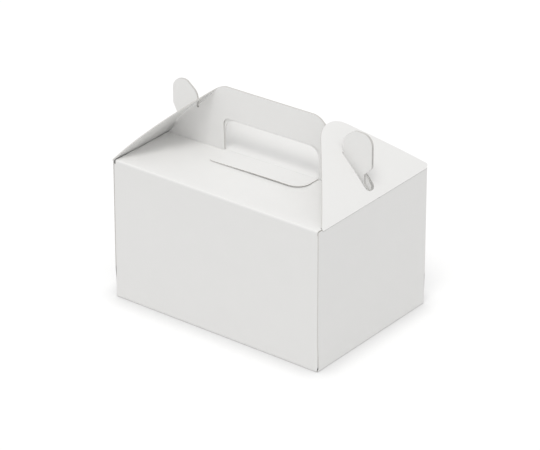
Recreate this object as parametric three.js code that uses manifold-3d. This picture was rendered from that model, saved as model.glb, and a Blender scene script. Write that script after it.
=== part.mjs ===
// A small white card cake box with a carrying handle. One sheet of card folds into a base, four
// walls and two lids. Each lid ends in an upright handle panel, and the two panels stand back to
// back. An end flap leans in over each end, and the handle's ears stick out through its slot and
// keep it shut. The back lid's tongue passes through the front panel's hand hole.
//
// Millimetres. X runs along the handle, Y runs from front to back, Z is up, and the origin is the
// middle of the underside.

import * as THREE from 'three';
import { mergeVertices } from 'three/addons/utils/BufferGeometryUtils.js';
import Module from 'manifold-3d';

const wasm = await Module();
wasm.setup();

const { degToRad } = THREE.MathUtils;

// The box
const LENGTH = 150;
const DEPTH = 105;
const HEIGHT = 90;
const CARD = 0.5; // thickness of the card
const CLEAR = 0.3; // gap between panels that lie on each other
const BASE_FOLD = 1; // outer radius of the folds round the base
const LID_FOLD = 1.6; // outer radius of the folds where the lids leave the walls
const SEAM = 0.2; // how far an end wall's cut edge stands back from the corner
const GLUE_TAB = 16; // width of the tabs glued inside the end walls
const TAB_INSET = 3; // height that the glue tabs are cut short at both ends

// The lids and their handle panels
const LID_SIDE_GAP = 2; // gap between a lid's end and the outside of the end wall
const HANDLE_HEIGHT = 41;
const HANDLE_CORNER = 9;
const HANDLE_TURN = degToRad(1.8); // the handle stands a little askew, seen from above
const CUT_SHIFT = 1.2; // how far the handle's cut-outs sit to the right of the middle

// The hand hole in the front panel, and the tongue that comes through it from the back lid
const HOLE_WIDTH = 68.4;
const HOLE_HEIGHT = 21;
const HOLE_CORNER = 4;
const TONGUE_SIDE_GAP = 0.8; // gap between the tongue and the hand hole's side
const TONGUE_CUT = 20.2; // height of the back panel's cut-out, which the tongue comes from
const TONGUE_CUT_CORNER = 7;
const TONGUE_TRIM = 2.2; // how much shorter than its cut-out the tongue is
const TONGUE_CORNER_LEFT = 3;
const TONGUE_CORNER_RIGHT = 9;
const TONGUE_LIFT = 1.8; // how far the tongue's free edge stands above its root
const LID_NOTCH = 9; // depth of the front lid's cut-out below the tongue

// The end flaps and their slots
const FLAP_LEAN = degToRad(43.5); // how far an end flap leans in from upright
const FLAP_HEIGHT = 51;
const FLAP_TRIM = 1.1; // how far a flap's tip to corner, along the crease, falls short of half the depth
const FLAP_STEP = 1.3; // height of the short upright edge at that corner
const FLAP_SLOPE = 1.13; // rise of the slanted sides
const FLAP_OVERHANG = 1.4; // how far its near corner stands out past the box
const SLOT_WIDTH = 7.7;
const SLOT_CORNER = 2.8;
const SLOTS = { // start and end above the crease, and the middle's distance from the handle's line
  left: { start: 9.5, end: 35, shift: -2.3 },
  right: { start: 5.3, end: 34.3, shift: 0.8 },
};
const TIP_SHIFT = 1.5; // from the handle's line to the flap's tip

// The ears that lock the handle into the slots
const EAR_LOW = 13.1; // distance above the crease where the neck's outer edge leaves the slot
const EAR_HIGH = 33.1; // and where its inner edge does
const EAR_RISE = 5.4; // straight outer edge of the neck
const EAR_BARB = 5.2; // how far the head reaches out
const EAR_ROUND = 7;
const EAR_SHAPES = { // the neck's shift outwards, and heights above the head's floor
  left: { neck: 0.6, slant: 7.1, head: 23.9, shoulder: 17.3, crown: 9.8 },
  right: { neck: 1.2, slant: 5.2, head: 25.8, shoulder: 20, crown: 12 },
};

const ARC_STEPS = 4; // quality of the rounded corners

// Positions worked out from the sizes above
const hingeX = LENGTH / 2 - CARD / 2;
const hingeZ = HEIGHT - CARD / 2;
const panelFace = CLEAR / 2 + CARD; // from the handle's middle plane to a panel's outer face
const lidHalf = LENGTH / 2 - LID_SIDE_GAP;
const flapHalf = DEPTH / 2 - FLAP_TRIM; // from a flap's tip to its far corner
const handleTop = HEIGHT + HANDLE_HEIGHT;
const tongueHalf = HOLE_WIDTH / 2 - TONGUE_SIDE_GAP;

// The point of a leaning end flap that is s above its crease and t outside its middle layer
const flapPoint = (s, t = 0) => ({
  x: hingeX - Math.sin(FLAP_LEAN) * s + Math.cos(FLAP_LEAN) * t,
  z: hingeZ + Math.cos(FLAP_LEAN) * s + Math.sin(FLAP_LEAN) * t,
});

// Where the layer of an end flap that is t outside its middle one crosses a height or an upright
const flapXAt = (z, t) => hingeX + (t - (z - hingeZ) * Math.sin(FLAP_LEAN)) / Math.cos(FLAP_LEAN);
const flapZAt = (x, t) => hingeZ + (t - (x - hingeX) * Math.cos(FLAP_LEAN)) / Math.sin(FLAP_LEAN);

// The line that the handle's middle plane makes across the lids, seen from above
const handleY = (x) => Math.tan(HANDLE_TURN) * x;

// A closed outline through corners [x, y, radius], each rounded with an arc
function rounded(corners, path = new THREE.Shape()) {
  corners.forEach(([x, y, radius = 0], i) => {
    const here = new THREE.Vector2(x, y);
    const back = new THREE.Vector2(...corners.at(i - 1).slice(0, 2)).sub(here).normalize();
    const ahead = new THREE.Vector2(...corners.at((i + 1) % corners.length).slice(0, 2)).sub(here).normalize();
    if (radius > 0) {
      const half = Math.acos(back.dot(ahead)) / 2;
      const centre = back.clone().add(ahead).setLength(radius / Math.sin(half)).add(here);
      const start = back.clone().multiplyScalar(radius / Math.tan(half)).add(here).sub(centre);
      const end = ahead.clone().multiplyScalar(radius / Math.tan(half)).add(here).sub(centre);
      if (i === 1) path.lineTo(centre.x + start.x, centre.y + start.y);
      path.absarc(centre.x, centre.y, radius, start.angle(), end.angle(), back.cross(ahead) > 0);
    } else if (i === 0) {
      path.moveTo(x, y);
    } else {
      path.lineTo(x, y);
    }
  });
  path.closePath();
  return path;
}

// A closed mesh as a solid that can be joined and cut
function solid(geometry) {
  geometry.deleteAttribute('normal');
  geometry.deleteAttribute('uv');
  const welded = mergeVertices(geometry);
  return new wasm.Manifold(new wasm.Mesh({
    numProp: 3,
    vertProperties: welded.attributes.position.array,
    triVerts: new Uint32Array(welded.index.array),
  }));
}

// A solid back as geometry for a mesh
function geometryOf(body) {
  const { vertProperties, triVerts } = body.getMesh();
  const geometry = new THREE.BufferGeometry();
  geometry.setAttribute('position', new THREE.BufferAttribute(vertProperties, 3));
  geometry.setIndex(new THREE.BufferAttribute(triVerts, 1));
  geometry.computeVertexNormals();
  return geometry;
}

const extrude = (shape, depth) =>
  new THREE.ExtrudeGeometry(shape, { depth, bevelEnabled: false, curveSegments: ARC_STEPS });

// A section drawn across the box in Y and Z, as a bar from x = -half to x = half
function alongX(shape, half) {
  const turn = new THREE.Matrix4().makeBasis(
    new THREE.Vector3(0, 1, 0),
    new THREE.Vector3(0, 0, 1),
    new THREE.Vector3(1, 0, 0),
  );
  return solid(extrude(shape, 2 * half).translate(0, 0, -half).applyMatrix4(turn));
}

// A shape drawn in X and Z, as a bar or plate from y = from to y = to
const alongY = (shape, from, to) => solid(extrude(shape, to - from).rotateX(Math.PI / 2).translate(0, to, 0));

// A plan drawn in X and Y, as a column through the lids' height
const column = (shape) => solid(extrude(shape, 2 * HEIGHT));

const turned = (body) => body.rotate([0, 0, THREE.MathUtils.radToDeg(HANDLE_TURN)]);

const board = (color) => new THREE.MeshStandardMaterial({ color, roughness: 0.55, metalness: 0 });

function part(name, body, color) {
  const mesh = new THREE.Mesh(geometryOf(body), board(color));
  mesh.name = name;
  return mesh;
}

// The tray: the base with the front and back walls, the end walls, and the glue tabs that run on
// from the front and back walls inside the end walls
function carton() {
  const inner = BASE_FOLD - CARD;
  const halfY = DEPTH / 2;
  const wallTop = HEIGHT - LID_FOLD - CLEAR;
  let body = alongX(rounded([
    [-halfY, wallTop], [-halfY, 0, BASE_FOLD], [halfY, 0, BASE_FOLD], [halfY, wallTop],
    [halfY - CARD, wallTop], [halfY - CARD, CARD, inner],
    [CARD - halfY, CARD, inner], [CARD - halfY, wallTop],
  ]), LENGTH / 2 - CARD);

  const endTop = hingeZ - CARD / 2 - CLEAR;
  const tabTop = wallTop - TAB_INSET;
  for (const side of [-1, 1]) {
    const outer = side * LENGTH / 2;
    const face = side * (LENGTH / 2 - CARD);
    const root = side * (LENGTH / 2 - 2 * BASE_FOLD);
    body = body.add(alongY(rounded([
      [outer, endTop], [outer, 0, BASE_FOLD], [root, 0], [root, CARD], [face, CARD, inner], [face, endTop],
    ]), SEAM - halfY, halfY - SEAM));

    // the corners of the front and back walls reach up past the lids' ends
    const cornerIn = side * (lidHalf + CLEAR);
    for (const from of [-halfY, halfY - CARD]) {
      body = body.add(alongY(rounded([
        [cornerIn, wallTop - CARD], [face, wallTop - CARD], [face, endTop], [cornerIn, endTop],
      ]), from, from + CARD));
    }

    const tabIn = side * (LENGTH / 2 - 2 * CARD);
    const tabOut = side * (LENGTH / 2 - CARD / 2);
    for (const from of [CARD / 2 - halfY, halfY - GLUE_TAB]) {
      body = body.add(alongY(rounded([
        [tabIn, TAB_INSET], [tabOut, TAB_INSET], [tabOut, tabTop], [tabIn, tabTop],
      ]), from, from + GLUE_TAB - CARD / 2));
    }
  }
  return part('carton', body, 0xf1f0ee);
}

// A handle panel seen from the front, between y = from and y = to, with its cut-out open to the lid
function handlePanel(from, to, cutHalf, cutHeight, cutCorner) {
  const foot = HEIGHT - CARD;
  const slant = -(CARD / 2 + CLEAR); // the panel's ends lie just inside the leaning flaps
  const shoulderZ = flapZAt(lidHalf, slant);
  const topX = flapXAt(handleTop, slant);
  const cutTop = HEIGHT + cutHeight;
  return turned(alongY(rounded([
    [CUT_SHIFT - cutHalf, foot], [CUT_SHIFT - cutHalf, cutTop, cutCorner],
    [CUT_SHIFT + cutHalf, cutTop, cutCorner], [CUT_SHIFT + cutHalf, foot],
    [lidHalf, foot], [lidHalf, shoulderZ], [topX, handleTop, HANDLE_CORNER],
    [-topX, handleTop, HANDLE_CORNER], [-lidHalf, shoulderZ], [-lidHalf, foot],
  ]), from, to));
}

// A lid's flat panel with the fold that leaves its wall, from the wall to the handle's line
function lidPanel(side, cutouts = []) {
  const wall = side * DEPTH / 2;
  const under = HEIGHT - CARD;
  const foldEnd = HEIGHT - LID_FOLD;
  const past = -side * DEPTH / 4;
  const section = rounded([
    [wall, foldEnd], [wall, HEIGHT, LID_FOLD], [past, HEIGHT], [past, under],
    [wall - side * CARD, under, LID_FOLD - CARD], [wall - side * CARD, foldEnd],
  ]);
  const edge = (x) => handleY(x) + side * CLEAR / 2;
  const plan = rounded([
    [-lidHalf, side * DEPTH], [-lidHalf, edge(-lidHalf)], ...cutouts, [lidHalf, edge(lidHalf)],
    [lidHalf, side * DEPTH],
  ]);
  return alongX(section, LENGTH).intersect(column(plan));
}

function frontLid() {
  const left = CUT_SHIFT - HOLE_WIDTH / 2;
  const right = CUT_SHIFT + HOLE_WIDTH / 2;
  const notchY = (x) => handleY(x) - LID_NOTCH;
  const edgeY = (x) => handleY(x) - CLEAR / 2;
  const notch = [
    [left, edgeY(left)], [left, notchY(left), HOLE_CORNER], [right, notchY(right), HOLE_CORNER],
    [right, edgeY(right)],
  ];
  const panel = handlePanel(-panelFace, -CLEAR / 2, HOLE_WIDTH / 2, HOLE_HEIGHT, HOLE_CORNER);
  return part('front_lid', lidPanel(-1, notch).add(panel), 0xf3f2f1);
}

// The tongue is the card cut out of the back panel. It stays flat with the back lid, passes
// through the hand hole and lies over the front lid with its free edge a little raised.
function tongue() {
  const tipY = panelFace - TONGUE_CUT + TONGUE_TRIM;
  const tipZ = HEIGHT + TONGUE_LIFT;
  const rootY = DEPTH / 10;
  const section = rounded([
    [rootY, HEIGHT - CARD], [rootY, HEIGHT], [panelFace, HEIGHT], [tipY, tipZ],
    [tipY, tipZ - CARD], [panelFace, HEIGHT - CARD],
  ]);
  const plan = rounded([
    [CUT_SHIFT - tongueHalf, rootY], [CUT_SHIFT - tongueHalf, tipY, TONGUE_CORNER_LEFT],
    [CUT_SHIFT + tongueHalf, tipY, TONGUE_CORNER_RIGHT], [CUT_SHIFT + tongueHalf, rootY],
  ]);
  return turned(alongX(section, LENGTH).intersect(column(plan)));
}

function backLid() {
  const panel = handlePanel(CLEAR / 2, panelFace, tongueHalf, TONGUE_CUT, TONGUE_CUT_CORNER);
  return part('back_lid', lidPanel(1).add(panel).add(tongue()), 0xf3f2f1);
}

// An ear grows from its panel's end through the slot, and its head is wider than the slot is high
function ear(name, end, side, from, to) {
  const { neck, slant, head, shoulder, crown } = EAR_SHAPES[end];
  const root = -CARD / 2; // the ear starts at the flap's inner face
  const neckIn = flapPoint(EAR_HIGH).x;
  const neckOut = flapPoint(EAR_LOW).x + neck;
  const tipX = flapPoint(EAR_LOW).x + side * CUT_SHIFT + EAR_BARB;
  const floor = flapZAt(neckOut, root) + EAR_RISE;
  const top = floor + head;
  const shape = rounded([
    [neckIn, flapZAt(neckIn, root)], [neckOut, flapZAt(neckOut, root)], [neckOut, floor],
    [tipX, floor + slant, EAR_BARB / 2], [tipX, top, EAR_ROUND],
    [tipX - crown, top, EAR_ROUND / 2], [neckIn, floor + shoulder, EAR_ROUND],
  ].map(([x, z, radius]) => [side * x, z, radius]));
  return part(name, turned(alongY(shape, from, to)), 0xecebea);
}

// An end flap in its own frame, upright with its crease on the Y axis. The crease is a round bead.
function endFlap(name, end) {
  const { start, end: stop, shift } = SLOTS[end];
  const line = handleY(flapPoint((EAR_LOW + EAR_HIGH) / 2).x);
  const tip = line + TIP_SHIFT;
  const wall = DEPTH / 2 - SEAM;
  const near = DEPTH / 2 + FLAP_OVERHANG;
  const far = tip - flapHalf;
  const peak = FLAP_STEP + FLAP_SLOPE * flapHalf;
  const tipRadius = (peak - FLAP_HEIGHT) / (Math.hypot(1, FLAP_SLOPE) - 1);
  const shape = rounded([
    [far, 0], [wall, 0], [near, FLAP_STEP], [near, peak - FLAP_SLOPE * (near - tip)], [tip, peak, tipRadius],
    [far, FLAP_STEP, CARD],
  ]);
  const low = line + shift - SLOT_WIDTH / 2;
  const high = low + SLOT_WIDTH;
  shape.holes.push(rounded([
    [low, start, SLOT_CORNER], [high, start, SLOT_CORNER], [high, stop, SLOT_CORNER],
    [low, stop, SLOT_CORNER],
  ], new THREE.Path()));
  const bead = solid(new THREE.CylinderGeometry(CARD / 2, CARD / 2, wall - far, 4 * ARC_STEPS))
    .translate([0, (wall + far) / 2, 0]);
  const mesh = part(name, alongX(shape, CARD / 2).add(bead), 0xf2f1f0);
  mesh.position.set(hingeX, 0, hingeZ);
  mesh.rotation.y = -FLAP_LEAN;
  return mesh;
}

const box = new THREE.Group();
box.add(carton(), frontLid(), backLid());
for (const [end, side] of [['left', -1], ['right', 1]]) {
  box.add(ear(`front_${end}_ear`, end, side, -panelFace, -CLEAR / 2));
  box.add(ear(`back_${end}_ear`, end, side, CLEAR / 2, panelFace));
  const turn = new THREE.Group();
  turn.rotation.z = side < 0 ? Math.PI : 0;
  turn.add(endFlap(`${end}_end_flap`, end));
  box.add(turn);
}

export default box;
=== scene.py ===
from math import cos, pi, radians, sin, tan

import bmesh
import bpy
from mathutils import Matrix, Vector


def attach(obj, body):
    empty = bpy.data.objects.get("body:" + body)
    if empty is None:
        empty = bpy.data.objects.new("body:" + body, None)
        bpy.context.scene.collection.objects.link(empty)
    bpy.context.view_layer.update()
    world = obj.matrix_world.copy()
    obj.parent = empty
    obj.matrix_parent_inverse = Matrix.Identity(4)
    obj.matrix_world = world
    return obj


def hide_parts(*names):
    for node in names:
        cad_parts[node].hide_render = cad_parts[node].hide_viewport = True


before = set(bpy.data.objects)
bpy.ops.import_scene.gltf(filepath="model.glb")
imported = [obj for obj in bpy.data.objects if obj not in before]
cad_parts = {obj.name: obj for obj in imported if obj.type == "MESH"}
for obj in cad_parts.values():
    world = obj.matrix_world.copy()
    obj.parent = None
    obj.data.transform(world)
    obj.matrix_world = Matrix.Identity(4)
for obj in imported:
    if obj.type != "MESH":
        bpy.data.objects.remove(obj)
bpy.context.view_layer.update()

# ---- The card ----
# The whole box is one sheet of smooth white coated card, half a millimetre thick. The faces are
# semi-matt, with a faint fibre grain and slightly cloudy coating. The die-cut edges show the
# greyer pulp between the coats.

CARD = 0.5  # thickness in mm
FACE_WHITE = (0.835, 0.832, 0.822, 1)
EDGE_GREY = (0.72, 0.705, 0.675, 1)


def fibre_group():
    """The card's fibres and clouds: a colour, a roughness and a height for a Bump node."""
    group = bpy.data.node_groups.new("card_fibres", "ShaderNodeTree")
    sockets = group.interface
    for label, kind, value in (
        ("Colour", "NodeSocketColor", FACE_WHITE),
        ("Cloud Depth", "NodeSocketFloat", 0.03),
        ("Fibre Scale", "NodeSocketFloat", 2200),
        ("Fibre Depth", "NodeSocketFloat", 0.03),
        ("Roughness", "NodeSocketFloat", 0.5),
    ):
        sockets.new_socket(label, in_out="INPUT", socket_type=kind).default_value = value
    sockets.new_socket("Colour", in_out="OUTPUT", socket_type="NodeSocketColor")
    sockets.new_socket("Roughness", in_out="OUTPUT", socket_type="NodeSocketFloat")
    sockets.new_socket("Height", in_out="OUTPUT", socket_type="NodeSocketFloat")

    node, link = group.nodes.new, group.links.new
    given, out = node("NodeGroupInput"), node("NodeGroupOutput")
    place = node("ShaderNodeTexCoord")

    clouds = node("ShaderNodeTexNoise")
    clouds.inputs["Scale"].default_value = 70
    clouds.inputs["Detail"].default_value = 3
    link(place.outputs["Object"], clouds.inputs["Vector"])

    fibres = node("ShaderNodeTexNoise")
    fibres.inputs["Detail"].default_value = 4
    fibres.inputs["Roughness"].default_value = 0.65
    fibres.inputs["Distortion"].default_value = 0.6
    link(place.outputs["Object"], fibres.inputs["Vector"])
    link(given.outputs["Fibre Scale"], fibres.inputs["Scale"])

    def darkened(noise, depth):
        """1 where the noise is low, down to 1 - depth where it is high."""
        deep = node("ShaderNodeMath")
        deep.operation = "MULTIPLY"
        link(noise, deep.inputs[0])
        link(depth, deep.inputs[1])
        rest = node("ShaderNodeMath")
        rest.operation = "SUBTRACT"
        rest.inputs[0].default_value = 1
        link(deep.outputs[0], rest.inputs[1])
        return rest.outputs[0]

    shade = node("ShaderNodeMath")
    shade.operation = "MULTIPLY"
    link(darkened(clouds.outputs["Fac"], given.outputs["Cloud Depth"]), shade.inputs[0])
    link(darkened(fibres.outputs["Fac"], given.outputs["Fibre Depth"]), shade.inputs[1])
    tint = node("ShaderNodeVectorMath")
    tint.operation = "SCALE"
    link(given.outputs["Colour"], tint.inputs[0])
    link(shade.outputs[0], tint.inputs["Scale"])
    link(tint.outputs["Vector"], out.inputs["Colour"])

    rough = node("ShaderNodeMath")
    rough.operation = "MULTIPLY_ADD"
    rough.inputs[1].default_value = 0.12
    link(fibres.outputs["Fac"], rough.inputs[0])
    link(given.outputs["Roughness"], rough.inputs[2])
    link(rough.outputs[0], out.inputs["Roughness"])
    link(fibres.outputs["Fac"], out.inputs["Height"])
    return group


card_fibres = fibre_group()


def card_material(name, colour, cloud, scale, fibre, roughness, bump):
    """A coated card surface. `cloud` and `fibre` say how much each darkens it."""
    material = bpy.data.materials.new(name)
    material.use_nodes = True
    nodes, links = material.node_tree.nodes, material.node_tree.links
    board = nodes["Principled BSDF"]
    board.inputs["Specular IOR Level"].default_value = 0.3
    grain = nodes.new("ShaderNodeGroup")
    grain.node_tree = card_fibres
    grain.inputs["Colour"].default_value = colour
    grain.inputs["Cloud Depth"].default_value = cloud
    grain.inputs["Fibre Scale"].default_value = scale
    grain.inputs["Fibre Depth"].default_value = fibre
    grain.inputs["Roughness"].default_value = roughness
    relief = nodes.new("ShaderNodeBump")
    relief.inputs["Strength"].default_value = bump
    relief.inputs["Distance"].default_value = 0.00002  # fibres stand up 0.02 mm
    links.new(grain.outputs["Colour"], board.inputs["Base Color"])
    links.new(grain.outputs["Roughness"], board.inputs["Roughness"])
    links.new(grain.outputs["Height"], relief.inputs["Height"])
    links.new(relief.outputs["Normal"], board.inputs["Normal"])
    return material


card_face = card_material("card_face", FACE_WHITE, cloud=0.02, scale=2200, fibre=0.025,
                          roughness=0.46, bump=0.25)
card_edge = card_material("card_cut_edge", EDGE_GREY, cloud=0.06, scale=4200, fibre=0.22,
                          roughness=0.78, bump=0.6)

# ---- The tray ----
# Base, front and back walls, end walls and the four glue tabs, cut as one blank and folded up.
# The tabs turn in behind the end walls, whose cut edges meet the front and back walls at a thin
# seam. The blank is drawn flat in millimetres, at the middle of the card's thickness.

LENGTH, DEPTH, HEIGHT = 150.0, 105.0, 90.0
FOLD = 0.75  # middle radius of the folds round the base
TAB_FOLD = 0.5  # and of the glue tabs' folds
TAB_WIDTH = 15
WALL_TOP = 88.25  # where the front and back walls go over into the lids' folds
END_TOP = 89.3
OPEN_CORNER = 48.4  # the two corners that no flap covers start here, from the middle
OPEN_RISE = 1.05  # and stand up this much more, to the lid's edge
SEAM_GAP = 0.22  # how far the end walls' cut edges stand back from the corners
SIDE_BOW, END_BOW = 0.35, 0.3  # how far the walls bow in between their creases
BOW_FROM = 0.7  # past the start of a fold
BESIDE_FOLD = 0.45  # flat strip next to a bend, scored so that its shading stays flat
SHARP = radians(32)  # an edge that turns more than this isn't shaded smoothly


def cut_blank(*outlines):
    """Flat faces inside the first outline and outside the others. A corner is (x, y) or, where
    it is rounded, (x, y, radius)."""
    bm = bmesh.new()
    for outline in outlines:
        corners = [bm.verts.new((*corner[:2], 0)) for corner in outline]
        bm.faces.new(corners)
        for vert, corner in zip(corners, outline):
            if len(corner) == 3:
                arms = [edge.other_vert(vert).co - vert.co for edge in vert.link_edges]
                reach = corner[2] / tan(arms[0].angle(arms[1]) / 2)
                bmesh.ops.bevel(bm, geom=[vert], offset=reach, affect="VERTICES", segments=7,
                                profile=0.5, material=-1)
    bmesh.ops.delete(bm, geom=bm.faces[:], context="FACES_ONLY")
    bmesh.ops.triangle_fill(bm, use_beauty=True, edges=bm.edges[:], normal=(0, 0, 1))
    return bm


def score(bm, at, across):
    """Cuts the sheet's faces along the line through `at` that `across` is square to."""
    bmesh.ops.bisect_plane(bm, geom=bm.verts[:] + bm.edges[:] + bm.faces[:], dist=1e-4,
                           plane_co=at, plane_no=across)


def score_grid(bm, xs=(), ys=()):
    """Cuts the sheet finely enough to bow."""
    for x in xs:
        score(bm, (x, 0, 0), (1, 0, 0))
    for y in ys:
        score(bm, (0, y, 0), (0, 1, 0))


def fold(bm, creases, steps=6):
    """Folds a flat sheet. A crease is (a point where its bend starts, the direction across it,
    degrees, middle radius, which of the flat sheet's points beyond it move). The outer creases
    come first, so each one still lies flat when its turn comes."""
    for at, across, degrees, radius, _ in creases:
        arc = radius * radians(abs(degrees))
        strip = BESIDE_FOLD / arc
        for part in (-strip, *(k / steps for k in range(steps + 1)), 1 + strip):
            score(bm, Vector(at) + Vector(across) * arc * part, across)
    flat = {vert: vert.co.copy() for vert in bm.verts}
    for at, across, degrees, radius, moves in creases:
        at, across = Vector(at), Vector(across)
        axis = Vector((across.y, -across.x, 0))  # a positive fold turns the far side upwards
        arc = radius * radians(abs(degrees))
        for k in range(steps, -1, -1):
            line = at + across * arc * k / steps
            share = 0.5 if k in (0, steps) else 1
            beyond = [vert for vert in bm.verts
                      if (flat[vert] - line).dot(across) > 1e-3 and moves(flat[vert])]
            bmesh.ops.rotate(bm, verts=beyond, cent=line,
                             matrix=Matrix.Rotation(radians(degrees) / steps * share, 3, axis))


def as_card(name, bm, body, nodes, beads=()):
    """Gives a folded sheet its thickness, with the cut edges in their own material, and puts it
    in the frame in place of its CAD nodes. A bead is a thin ridge (from, to, radius), in metres."""
    bmesh.ops.scale(bm, vec=(0.001,) * 3, verts=bm.verts[:])
    mesh = bpy.data.meshes.new(name)
    bm.to_mesh(mesh)
    bm.free()
    mesh.materials.append(card_face)
    mesh.materials.append(card_edge)
    piece = bpy.data.objects.new(name, mesh)
    bpy.context.scene.collection.objects.link(piece)
    wall = piece.modifiers.new("card_thickness", "SOLIDIFY")
    wall.thickness = CARD / 1000
    wall.offset = 0
    wall.material_offset_rim = 1
    bpy.context.view_layer.update()
    thick = bpy.data.meshes.new_from_object(
        piece.evaluated_get(bpy.context.evaluated_depsgraph_get()))
    piece.modifiers.clear()
    piece.data = thick
    bpy.data.meshes.remove(mesh)
    thick.name = name
    bm = bmesh.new()
    bm.from_mesh(thick)
    for low, high, radius in beads:
        low, high = Vector(low), Vector(high)
        along = (high - low).to_track_quat("Z", "Y").to_matrix().to_4x4()
        bmesh.ops.create_cone(bm, cap_ends=True, segments=16, radius1=radius, radius2=radius,
                              depth=(high - low).length,
                              matrix=Matrix.Translation((low + high) / 2) @ along)
    for face in bm.faces:
        face.smooth = True
    for edge in bm.edges:
        edge.smooth = edge.calc_face_angle(pi) < SHARP
    bm.to_mesh(thick)
    bm.free()
    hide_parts(*nodes)
    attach(piece, body)
    return piece


bend = FOLD * pi / 2
base_x = LENGTH / 2 - CARD / 2 - FOLD  # where the end walls' folds start
base_y = DEPTH / 2 - CARD / 2 - FOLD  # and the front and back walls'
end_x = base_x + bend + END_TOP - CARD / 2 - FOLD
wall_y = base_y + bend + WALL_TOP - CARD / 2 - FOLD
end_half = DEPTH / 2 - SEAM_GAP
tab_x = LENGTH / 2 - 1.5 * CARD - TAB_FOLD  # where the glue tabs' folds start
tab_bend = TAB_FOLD * pi / 2
tab_tip = tab_x + tab_bend + TAB_WIDTH
tab_low, tab_high = base_y + bend + 2, wall_y - 3
quarter = [
    # the end wall's cut edge, down to the corner of the base
    (end_x, end_half), (base_x + bend, end_half, 0.4), (base_x + 0.2, base_y - 0.1),
    # the glue tab, with its ends cut slanting, up to the top of the long wall
    (tab_x + 0.5, base_y + bend + 0.2), (tab_x + tab_bend, tab_low),
    (tab_tip - 1, tab_low + 1.5, 1.5), (tab_tip, tab_low + 7),
    (tab_tip, tab_high - 7), (tab_tip - 1, tab_high - 1.5, 1.5),
    (tab_x + tab_bend, tab_high), (tab_x + tab_bend, wall_y),
]
open_top = end_x + OPEN_RISE
open_quarter = [(end_x, OPEN_CORNER), (open_top, OPEN_CORNER), (open_top, end_half)]
open_quarter += quarter[1:]
blank = (
    quarter
    + [(-x, y, *r) for x, y, *r in reversed(open_quarter)]
    + [(-x, -y, *r) for x, y, *r in quarter]
    + [(x, -y, *r) for x, y, *r in reversed(open_quarter)]
)
tray = cut_blank(blank)
score_grid(tray, xs=[-56, -40, -24, -8, 8, 24, 40, 56, -94, -110, -126, -142, 94, 110, 126, 142],
           ys=[-38, -22, -8, 8, 22, 38, -68, -84, -100, -116, -130, 68, 84, 100, 116, 130])


# Which points of the flat sheet each fold moves.
def on_tab(p):
    return abs(p.y) > base_y + bend


def on_end_wall(p):
    return abs(p.y) < end_half + 0.1


def on_long_wall(p):
    return abs(p.x) < tab_tip + 1


fold(tray, [
    ((tab_x, 0, 0), (1, 0, 0), 90, TAB_FOLD, on_tab),
    ((-tab_x, 0, 0), (-1, 0, 0), 90, TAB_FOLD, on_tab),
    ((base_x, 0, 0), (1, 0, 0), 90, FOLD, on_end_wall),
    ((-base_x, 0, 0), (-1, 0, 0), 90, FOLD, on_end_wall),
    ((0, base_y, 0), (0, 1, 0), 90, FOLD, on_long_wall),
    ((0, -base_y, 0), (0, -1, 0), 90, FOLD, on_long_wall),
])
for vert in tray.verts:  # the walls bow in
    p = vert.co
    rise = max(0.0, sin(pi * min(max(p.z / HEIGHT, 0), 1)))
    along_x = max(0.0, cos(pi * p.x / LENGTH))
    along_y = max(0.0, cos(pi * p.y / DEPTH))
    if abs(p.y) > base_y + BOW_FROM:
        p.y -= SIDE_BOW * rise * along_x * (1 if p.y > 0 else -1)
    elif abs(p.x) > base_x + BOW_FROM:
        p.x -= END_BOW * rise * along_y * (1 if p.x > 0 else -1)
bmesh.ops.translate(tray, verts=tray.verts[:], vec=(0, 0, CARD / 2))
as_card("tray", tray, "box", ["carton"])

# ---- The lids and their handle panels ----
# Each lid leaves its wall with a soft fold, lies almost flat, and turns up at the handle's line
# into a panel. The two panels stand back to back. Each is cut with the ears that stick out
# through the end flaps' slots, and with a round relief hole where an ear's slit ends.

LID_FOLD = 0.75  # middle radius
LID_RISE = 0.9  # how far a lid's edge stands up from its middle
RISE_FROM, RISE_OVER = 33, 17  # where that rise starts, from the middle, and how long it is
LID_SAG, SAG_FROM = 0.25, 22  # it also dips a little, from this far off the middle to its edge
# How far a lid reaches to each side, and how far from the middle: beside the handle, towards its
# wall, and in the one corner that no flap covers, after a short step.
LID_MIDDLE, LID_MIDDLE_TO = 73.7, 36
LID_END, LID_END_FROM = 73.1, 46
LID_CORNER, LID_CORNER_STEP, LID_CORNER_FROM = 74.35, 48.25, 48.35
LID_SCORES = [-64, -54, -44, -34, -28, -22, -16, -10, -4, 2,
              8, 14, 20, 26, 32, 34, 44, 54, 64]

FOOT_FOLD = 0.5  # middle radius
FOOT_HEIGHT, FOOT_PRESS = 0.6, 0.7  # card lower than this is pressed down, by a share of the rest
PRESS_FROM = 34.3  # to each side of the hand hole's middle
TURN = radians(1.8)  # the handle stands a little askew, seen from above
PANEL_OFF = 0.31  # from the handle's middle to the middle of a panel's thickness
PANEL_END = 73.0
PANEL_BOW, PANEL_FROM, PANEL_HEIGHT = 0.12, 8, 34  # a bow away from the other panel
HANDLE_TOP = 131.0
CUT_SHIFT = 1.2  # how far the hand hole and the ears' tips lie to the right of the middle
TONGUE_HALF, TONGUE_TIP = 33.4, -17.3
TONGUE_STEP, TONGUE_STEP_OVER = 0.55, 2.4  # up onto the front lid, past the handle's foot
TONGUE_LIFT, TONGUE_CURL = 0.42, 0.34  # of the free edge, and how much this varies along it
CURL_PEAK, CURL_WIDTH = 14, 17

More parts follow.
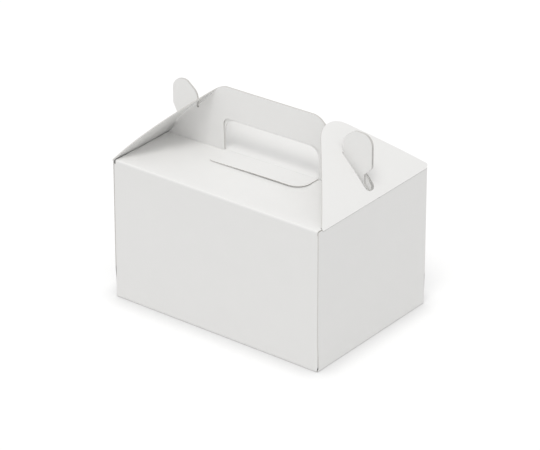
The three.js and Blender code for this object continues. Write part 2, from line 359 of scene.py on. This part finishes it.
LEAN = radians(43.5)  # of an end flap, from upright
HINGE_X, HINGE_Z = LENGTH / 2 - CARD / 2, HEIGHT - CARD / 2  # an end flap's crease
FLAP_GAP = 0.3  # between a flap and the slanted ends of the panels
NECK_START, NECK_END = 13.1, 33.1  # an ear's neck, measured up the flap from its crease
EAR_FLOOR = 5.4  # from where the neck passes the flap up to the ear's lower edge
EAR_REACH = 5.2  # how far the ear's tip stands out past the neck
EAR_SPLAY, SPLAY_FROM, SPLAY_OVER = 0.25, 56, 16  # the ears of the two panels part a little
# The left and the right ear: the neck's shift outwards, the heights of the barb, head and inner
# corner over the lower edge, and the width of the level top.
EARS = {-1: (0.6, 7.1, 23.9, 17.3, 9.8), 1: (1.2, 5.2, 25.8, 20, 12)}

lid_bend = LID_FOLD * pi / 2
lid_edge = DEPTH / 2 - CARD / 2 - LID_FOLD  # where a lid's soft fold starts
foot_start = PANEL_OFF + FOOT_FOLD
foot_bend = FOOT_FOLD * pi / 2
panel_rise = HINGE_Z + FOOT_FOLD + foot_start - foot_bend  # height of a flat panel's zero
askew = Matrix.Rotation(TURN, 2)


def along_handle(p):
    """A point of the box along and across the handle, which is turned."""
    return askew.transposed() @ p.xy


def eased(t):
    """Goes softly from 0 to 1 as t does, and stays there on both sides."""
    t = min(max(t, 0), 1)
    return t * t * (3 - 2 * t)


def flap_x(z, t):
    """Where the layer of an end flap that is t outside its middle one crosses a height."""
    return HINGE_X + (t - (z - HINGE_Z) * sin(LEAN)) / cos(LEAN)


def flap_z(x, t):
    """The height at which that layer crosses an x."""
    return HINGE_Z + (t - (x - HINGE_X) * cos(LEAN)) / sin(LEAN)


def panel_end(side, spread):
    """One end of a handle panel with its ear, from the foot up, as (x, z) corners. `spread` is
    how much wider the ear's neck is than on the front panel."""
    neck, barb, head, shoulder, crown = EARS[side]
    slant = -(CARD / 2 + FLAP_GAP)
    neck_in = HINGE_X - sin(LEAN) * NECK_END
    neck_out = HINGE_X - sin(LEAN) * NECK_START + neck
    under = flap_z(neck_out, -CARD / 2) + EAR_FLOOR
    tip = HINGE_X - sin(LEAN) * NECK_START + side * CUT_SHIFT + EAR_REACH
    root = flap_z(neck_in, slant)
    corners = [
        # the slanted end under the flap, and the neck's outer side
        (PANEL_END, flap_z(PANEL_END, slant), 0.8),
        (neck_out + spread, flap_z(neck_out + spread, slant), 0.8),
        (neck_out + spread, under - 1.6 * spread, 1.0), (neck_out, under, 1.0),
        # the barbed head, and the neck's inner side
        (tip, under + barb, 2.6), (tip, under + head, 7),
        (tip - crown, under + head, 3.5), (neck_in, under + shoulder, 7),
        # the round relief hole at the end of the slit
        (neck_in, root + 1.6), (neck_in + 0.6, root - 1.1, 0.8),
        (neck_in - 1.6, root - 0.5, 0.8), (neck_in - 1.0, root + 1.0),
        # and the slanted end up to the top
        (flap_x(HANDLE_TOP, slant), HANDLE_TOP, 9),
    ]
    return [(side * x, z, *r) for x, z, *r in corners]


def lid_blank(side, half, foot_half, top, radius, sill, spread):
    """A lid with its handle panel, drawn flat as seen from above, with the panel laid over to the
    other side of the handle's line. `side` is -1 for the front lid and 1 for the back one. The
    hand hole is `half` wide to each side at its `top`, whose corners have this `radius`, and
    `foot_half` at its `sill`."""
    def handle(a, z, *rounded):
        return (*(askew @ Vector((a, -side * (z - panel_rise)))), *rounded)

    wall = side * (lid_edge + lid_bend + HINGE_Z - LID_FOLD + LID_RISE - WALL_TOP)
    line = side * (foot_start - 0.21)  # just short of the handle's foot
    covered = [(LID_END, side * LID_END_FROM), (LID_MIDDLE, side * LID_MIDDLE_TO)]
    uncovered = [(LID_CORNER, wall), (LID_CORNER, side * LID_CORNER_FROM),
                 (LID_END, side * LID_CORNER_STEP)] + covered
    covered = [(LID_END, wall)] + covered
    left, right = (covered, uncovered) if side < 0 else (uncovered, covered)
    outline = [(-x, y) for x, y in reversed(left)] + right
    outline += [(LID_MIDDLE, line + tan(TURN) * LID_MIDDLE)]
    outline += [handle(*corner) for corner in panel_end(1, spread)]
    outline += [handle(*corner) for corner in reversed(panel_end(-1, spread))]
    outline += [(-LID_MIDDLE, line - tan(TURN) * LID_MIDDLE)]
    hole = [
        handle(CUT_SHIFT - foot_half, sill, 0.3), handle(CUT_SHIFT - half, top, radius),
        handle(CUT_SHIFT + half, top, radius), handle(CUT_SHIFT + foot_half, sill, 0.3),
    ]
    return cut_blank(outline, hole)


def fold_lid(bm, side):
    """Scores a lid's blank, turns its panel up and its edge down."""
    across = Vector((sin(TURN) * side, -cos(TURN) * side, 0))
    score_grid(bm, xs=LID_SCORES,
               ys=[-side * 38, -side * 30, -side * 22, -side * 12, -side * 6,
                   side * 10, side * 20, side * 30, side * 36, side * 40, side * 44, side * 48])
    fold(bm, [
        (-across * foot_start, across, 90, FOOT_FOLD, lambda p: True),
        ((0, side * lid_edge, 0), (0, side, 0), -90, LID_FOLD, lambda p: True),
    ])


front = lid_blank(-1, half=34.2, foot_half=33.65, top=111.0, radius=4, sill=panel_rise - 1.3,
                  spread=0.01)
fold_lid(front, -1)

back = lid_blank(1, half=TONGUE_HALF, foot_half=TONGUE_HALF, top=110.2, radius=7,
                 sill=panel_rise - foot_start, spread=4.2)
fold_lid(back, 1)

# The tongue is the card from the back panel's hand hole. It stays flat with the back lid, comes
# out through the front panel's hole and lies over the front lid, with its free edge lifted.
tip_half = TONGUE_HALF - 0.1
tongue = cut_blank([(*(askew @ Vector((a, b))), *rounded) for a, b, *rounded in (
    (CUT_SHIFT - TONGUE_HALF, foot_start), (CUT_SHIFT - tip_half, TONGUE_TIP, 3),
    (CUT_SHIFT + tip_half, TONGUE_TIP, 9), (CUT_SHIFT + TONGUE_HALF, foot_start))])
score_grid(tongue, xs=LID_SCORES,
           ys=[-16.2, -15.2, -14, -12, -10, -8, -6, -4, -3, -2, -1.4, -0.8, -0.2, 0.4])
for vert in tongue.verts:
    a, b = along_handle(vert.co)
    free = max(0.0, -b / 18)  # nearly 1 at the tip
    lift = TONGUE_LIFT + TONGUE_CURL * cos((a - CURL_PEAK) / CURL_WIDTH)
    vert.co.z = TONGUE_STEP * eased((foot_start - b) / TONGUE_STEP_OVER) + free * lift
joined = bpy.data.meshes.new("tongue_blank")
tongue.to_mesh(joined)
tongue.free()
back.from_mesh(joined)
bpy.data.meshes.remove(joined)
same = 0.003  # points this close at the tongue's root become one
bmesh.ops.remove_doubles(back, dist=same, verts=[
    vert for vert in back.verts
    if abs(along_handle(vert.co).y - foot_start) < same and abs(vert.co.z) < same])

for bm, side, name in ((front, -1, "front"), (back, 1, "back")):
    for vert in bm.verts:
        p = vert.co
        at_foot = p.z < FOOT_HEIGHT and abs(along_handle(p).y) < foot_start + 0.1
        if p.z > PANEL_FROM:
            out = max(0.0, abs(p.x) - SPLAY_FROM) / SPLAY_OVER
            bow = PANEL_BOW * sin(pi * (p.z - PANEL_FROM) / PANEL_HEIGHT)
            p.y += side * (EAR_SPLAY * out * out + bow)
        elif at_foot and abs(p.x - CUT_SHIFT) > PRESS_FROM:
            p.z -= FOOT_PRESS * (FOOT_HEIGHT - p.z)
        elif abs(p.z) < 0.2 and SAG_FROM < abs(p.y) < lid_edge:
            dip = sin(pi * (abs(p.y) - SAG_FROM) / (lid_edge - SAG_FROM))
            p.z -= LID_SAG * dip * cos(pi * p.x / LENGTH)
        p.z += LID_RISE * eased((abs(p.y) - RISE_FROM) / RISE_OVER)
    bmesh.ops.translate(bm, verts=bm.verts[:], vec=(0, 0, HINGE_Z))
    as_card(f"{name}_lid_and_handle", bm, "box",
            [f"{name}_lid", f"{name}_left_ear", f"{name}_right_ear"])

# ---- The end flaps ----
# Each flap leans in from the top of its end wall and rests on the slanted ends of the handle
# panels. Its slot takes the ears. The pressed crease stands up as a thin ridge.

FLAP_HALF = 51.4  # from the tip's line to a flap's far side, which leaves a corner open
FLAP_OUT = 1.4  # how far its other side stands out past the long wall
FLAP_STEP = 1.3  # height of its sides over the crease
FLAP_SLOPE, FLAP_HEIGHT = 1.13, 51.0  # of its slanted edges, and up to its round tip
TIP_SHIFT = 1.5  # from the slot's line to the tip's
SLOT_WIDTH, SLOT_CORNER = 7.7, 3.2
SLOTS = {-1: (9.5, 35, -2.3), 1: (5.3, 34.3, 0.8)}  # start and end above the crease, and shift
BOWS = {-1: 1.9, 1: 0.8}  # how far each flap bows out
RIDGE = 0.41  # radius

slot_line = tan(TURN) * (HINGE_X - sin(LEAN) * (NECK_START + NECK_END) / 2)
tip = slot_line + TIP_SHIFT
wall_end, near, far = DEPTH / 2 - 0.2, DEPTH / 2 + FLAP_OUT, tip - FLAP_HALF
peak = FLAP_STEP + FLAP_SLOPE * FLAP_HALF
tip_radius = (peak - FLAP_HEIGHT) / ((1 + FLAP_SLOPE ** 2) ** 0.5 - 1)
for end, side in (("left", -1), ("right", 1)):
    start, stop, shift = SLOTS[side]
    low = slot_line + shift - SLOT_WIDTH / 2
    high = low + SLOT_WIDTH
    flap = cut_blank(
        [(0, far), (FLAP_STEP, far, 0.6), (peak, tip, tip_radius),
         (peak - FLAP_SLOPE * (near - tip), near, 0.5), (FLAP_STEP, near), (0, wall_end)],
        [(start, low, SLOT_CORNER), (stop, low, SLOT_CORNER),
         (stop, high, SLOT_CORNER), (start, high, SLOT_CORNER)],
    )
    score_grid(flap, xs=[1, 3, 6, 10, 15, 20, 25, 30, 35, 40, 45],
               ys=[-44, -36, -28, -20, -12, -6, 0, 8, 12, 18, 26, 34, 42, 48])
    for vert in flap.verts:  # the flap bows out
        up = min(max(vert.co.x, 0) / FLAP_HEIGHT, 1)
        vert.co.z = -BOWS[side] * sin(pi * up ** 0.8)
    bmesh.ops.rotate(flap, verts=flap.verts[:], cent=(0, 0, 0),
                     matrix=Matrix.Rotation(-(pi / 2 + LEAN), 3, "Y"))
    bmesh.ops.translate(flap, verts=flap.verts[:], vec=(HINGE_X, 0, HINGE_Z))
    if side < 0:
        bmesh.ops.rotate(flap, verts=flap.verts[:], cent=(0, 0, 0),
                         matrix=Matrix.Rotation(pi, 3, "Z"))
    bead = [(side * HINGE_X / 1000, side * y / 1000, HINGE_Z / 1000) for y in (far, wall_end)]
    as_card(f"{end}_flap", flap, f"{end}_flap", [f"{end}_end_flap"],
            beads=[(*bead, RIDGE / 1000)])

# ---- The studio ----
# A white surface under soft light from above, a little from the front. Only the camera sees the
# surroundings as pure white, and the surface as nearly that, with a painted shade where the card
# meets it: ambient occlusion darkens its colour there. To the box the surface is one plain pale
# colour.

FLOOR_GLOW = 0.30
FLOOR_PAINTED_SHADE, FLOOR_OPEN = 0.26, 0.68  # the surface's colour at the deepest painted shade beside the card, and away from it
FLOOR_BOUNCE = 0.73  # and the one that lights the box
PAINTED_SHADE_REACH = 0.014  # how far the painted contact shade reaches from the card, in metres
SKY = 0.82  # the surroundings' light on the box

bpy.ops.mesh.primitive_plane_add(size=6, location=(0, 0, 0))
floor = bpy.context.object
floor.name = "floor"
paper = bpy.data.materials.new("studio_floor")
paper.use_nodes = True
nodes, links = paper.node_tree.nodes, paper.node_tree.links
surface = nodes["Principled BSDF"]
surface.inputs["Roughness"].default_value = 0.9
surface.inputs["Specular IOR Level"].default_value = 0
seen = nodes.new("ShaderNodeLightPath")
lift = nodes.new("ShaderNodeMath")
lift.operation = "MULTIPLY"
lift.inputs[1].default_value = FLOOR_GLOW
links.new(seen.outputs["Is Camera Ray"], lift.inputs[0])
surface.inputs["Emission Color"].default_value = (1, 1, 1, 1)
links.new(lift.outputs[0], surface.inputs["Emission Strength"])
# painted contact shade: ambient occlusion darkens the colour that the camera sees near the card
painted_contact_shade = nodes.new("ShaderNodeAmbientOcclusion")
painted_contact_shade.inputs["Distance"].default_value = PAINTED_SHADE_REACH
shade = nodes.new("ShaderNodeMapRange")
shade.inputs["To Min"].default_value = FLOOR_PAINTED_SHADE
shade.inputs["To Max"].default_value = FLOOR_OPEN
links.new(painted_contact_shade.outputs["AO"], shade.inputs["Value"])
bounce = nodes.new("ShaderNodeMix")
bounce.inputs["A"].default_value = FLOOR_BOUNCE
links.new(seen.outputs["Is Camera Ray"], bounce.inputs["Factor"])
links.new(shade.outputs["Result"], bounce.inputs["B"])
links.new(bounce.outputs["Result"], surface.inputs["Base Color"])
floor.data.materials.append(paper)

world = bpy.data.worlds.new("studio")
bpy.context.scene.world = world
world.use_nodes = True
nodes, links = world.node_tree.nodes, world.node_tree.links
sky = nodes["Background"]
sky.inputs["Color"].default_value = (1, 1, 1, 1)
seen = nodes.new("ShaderNodeLightPath")
level = nodes.new("ShaderNodeMapRange")
level.inputs["To Min"].default_value = SKY
level.inputs["To Max"].default_value = 1
links.new(seen.outputs["Is Camera Ray"], level.inputs["Value"])
links.new(level.outputs["Result"], sky.inputs["Strength"])

key = bpy.data.lights.new("key", "SUN")
key.energy = 0.942
key.color = (1, 0.992, 0.978)
key.angle = radians(24)
lamp = bpy.data.objects.new("key", key)
lamp.rotation_mode = "QUATERNION"
lamp.rotation_quaternion = Vector((0.18, -0.37, 0.91)).to_track_quat("Z", "Y")  # its direction
bpy.context.scene.collection.objects.link(lamp)

camera = bpy.data.cameras.new("camera")
camera.lens = 240
camera.sensor_width = 36
eye = bpy.data.objects.new("camera", camera)
azimuth, elevation = radians(37.73), radians(27.61)  # from the front, and up
away = Vector((sin(azimuth) * cos(elevation), -cos(azimuth) * cos(elevation), sin(elevation)))
eye.location = (1.1456, -1.4805, 1.0289)  # metres
eye.rotation_mode = "QUATERNION"
eye.rotation_quaternion = (-away).to_track_quat("-Z", "Y")
bpy.context.scene.collection.objects.link(eye)
bpy.context.scene.camera = eye
bpy.context.scene.view_settings.view_transform = "Standard"
